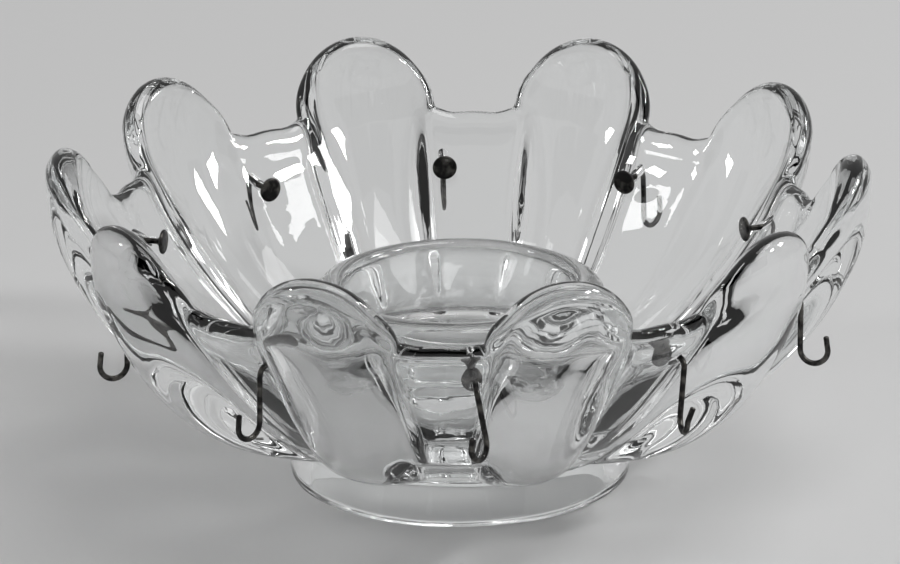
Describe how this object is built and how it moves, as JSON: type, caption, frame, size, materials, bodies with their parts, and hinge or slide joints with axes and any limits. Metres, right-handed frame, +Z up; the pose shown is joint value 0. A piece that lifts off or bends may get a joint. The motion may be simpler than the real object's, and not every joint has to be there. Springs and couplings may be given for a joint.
{
  "type": "prism-hung candle drip dish",
  "caption": "Clear pressed-glass candle drip dish with deep petals, a raised candle collar and a foot ring, and wire hook pins in the valleys for hanging prisms.",
  "frame": {"origin": "centre of the foot ring's underside, on the surface that the dish stands on", "axes": "+Z up along the dish's axis, out of the candle collar; +X along the middle of a petal; a valley between two petals faces +Y and another faces -Y"},
  "size_m": [0.14, 0.1346, 0.0563],
  "materials": {
    "clear_glass": "clear, fire-polished, pressed",
    "hook_wire": "drawn wire, dark with age"
  },
  "bodies": {
    "dish": {"glass_dish": "clear_glass"},
    "pin_01": {"hook_pin_01": "hook_wire"},
    "pin_02": {"hook_pin_02": "hook_wire"},
    "pin_03": {"hook_pin_03": "hook_wire"},
    "pin_04": {"hook_pin_04": "hook_wire"},
    "pin_05": {"hook_pin_05": "hook_wire"},
    "pin_06": {"hook_pin_06": "hook_wire"},
    "pin_07": {"hook_pin_07": "hook_wire"},
    "pin_08": {"hook_pin_08": "hook_wire"},
    "pin_09": {"hook_pin_09": "hook_wire"},
    "pin_10": {"hook_pin_10": "hook_wire"}
  },
  "joints": [
    {"name": "pin_01_swing", "type": "hinge", "parent": "dish", "child": "pin_01", "pos_m": [0.05162, 0.02223, 0.0363], "axis": [0.9184, 0.3955, 0], "range_deg": [-90, 22]},
    {"name": "pin_02_swing", "type": "hinge", "parent": "dish", "child": "pin_02", "pos_m": [0.02869, 0.04832, 0.0363], "axis": [0.5105, 0.8599, 0], "range_deg": [-90, 22]},
    {"name": "pin_03_swing", "type": "hinge", "parent": "dish", "child": "pin_03", "pos_m": [-0.00519, 0.05596, 0.0363], "axis": [-0.0924, 0.9957, 0], "range_deg": [-90, 22]},
    {"name": "pin_04_swing", "type": "hinge", "parent": "dish", "child": "pin_04", "pos_m": [-0.03709, 0.04222, 0.0363], "axis": [-0.66, 0.7513, 0], "range_deg": [-90, 22]},
    {"name": "pin_05_swing", "type": "hinge", "parent": "dish", "child": "pin_05", "pos_m": [-0.05483, 0.01236, 0.0363], "axis": [-0.9755, 0.2198, 0], "range_deg": [-90, 22]},
    {"name": "pin_06_swing", "type": "hinge", "parent": "dish", "child": "pin_06", "pos_m": [-0.05162, -0.02223, 0.0363], "axis": [-0.9184, -0.3955, 0], "range_deg": [-90, 22]},
    {"name": "pin_07_swing", "type": "hinge", "parent": "dish", "child": "pin_07", "pos_m": [-0.02869, -0.04832, 0.0363], "axis": [-0.5105, -0.8599, 0], "range_deg": [-90, 22]},
    {"name": "pin_08_swing", "type": "hinge", "parent": "dish", "child": "pin_08", "pos_m": [0.00519, -0.05596, 0.0363], "axis": [0.0924, -0.9957, 0], "range_deg": [-90, 22]},
    {"name": "pin_09_swing", "type": "hinge", "parent": "dish", "child": "pin_09", "pos_m": [0.03709, -0.04222, 0.0363], "axis": [0.66, -0.7513, 0], "range_deg": [-90, 22]},
    {"name": "pin_10_swing", "type": "hinge", "parent": "dish", "child": "pin_10", "pos_m": [0.05483, -0.01236, 0.0363], "axis": [0.9755, -0.2198, 0], "range_deg": [-90, 22]}
  ]
}
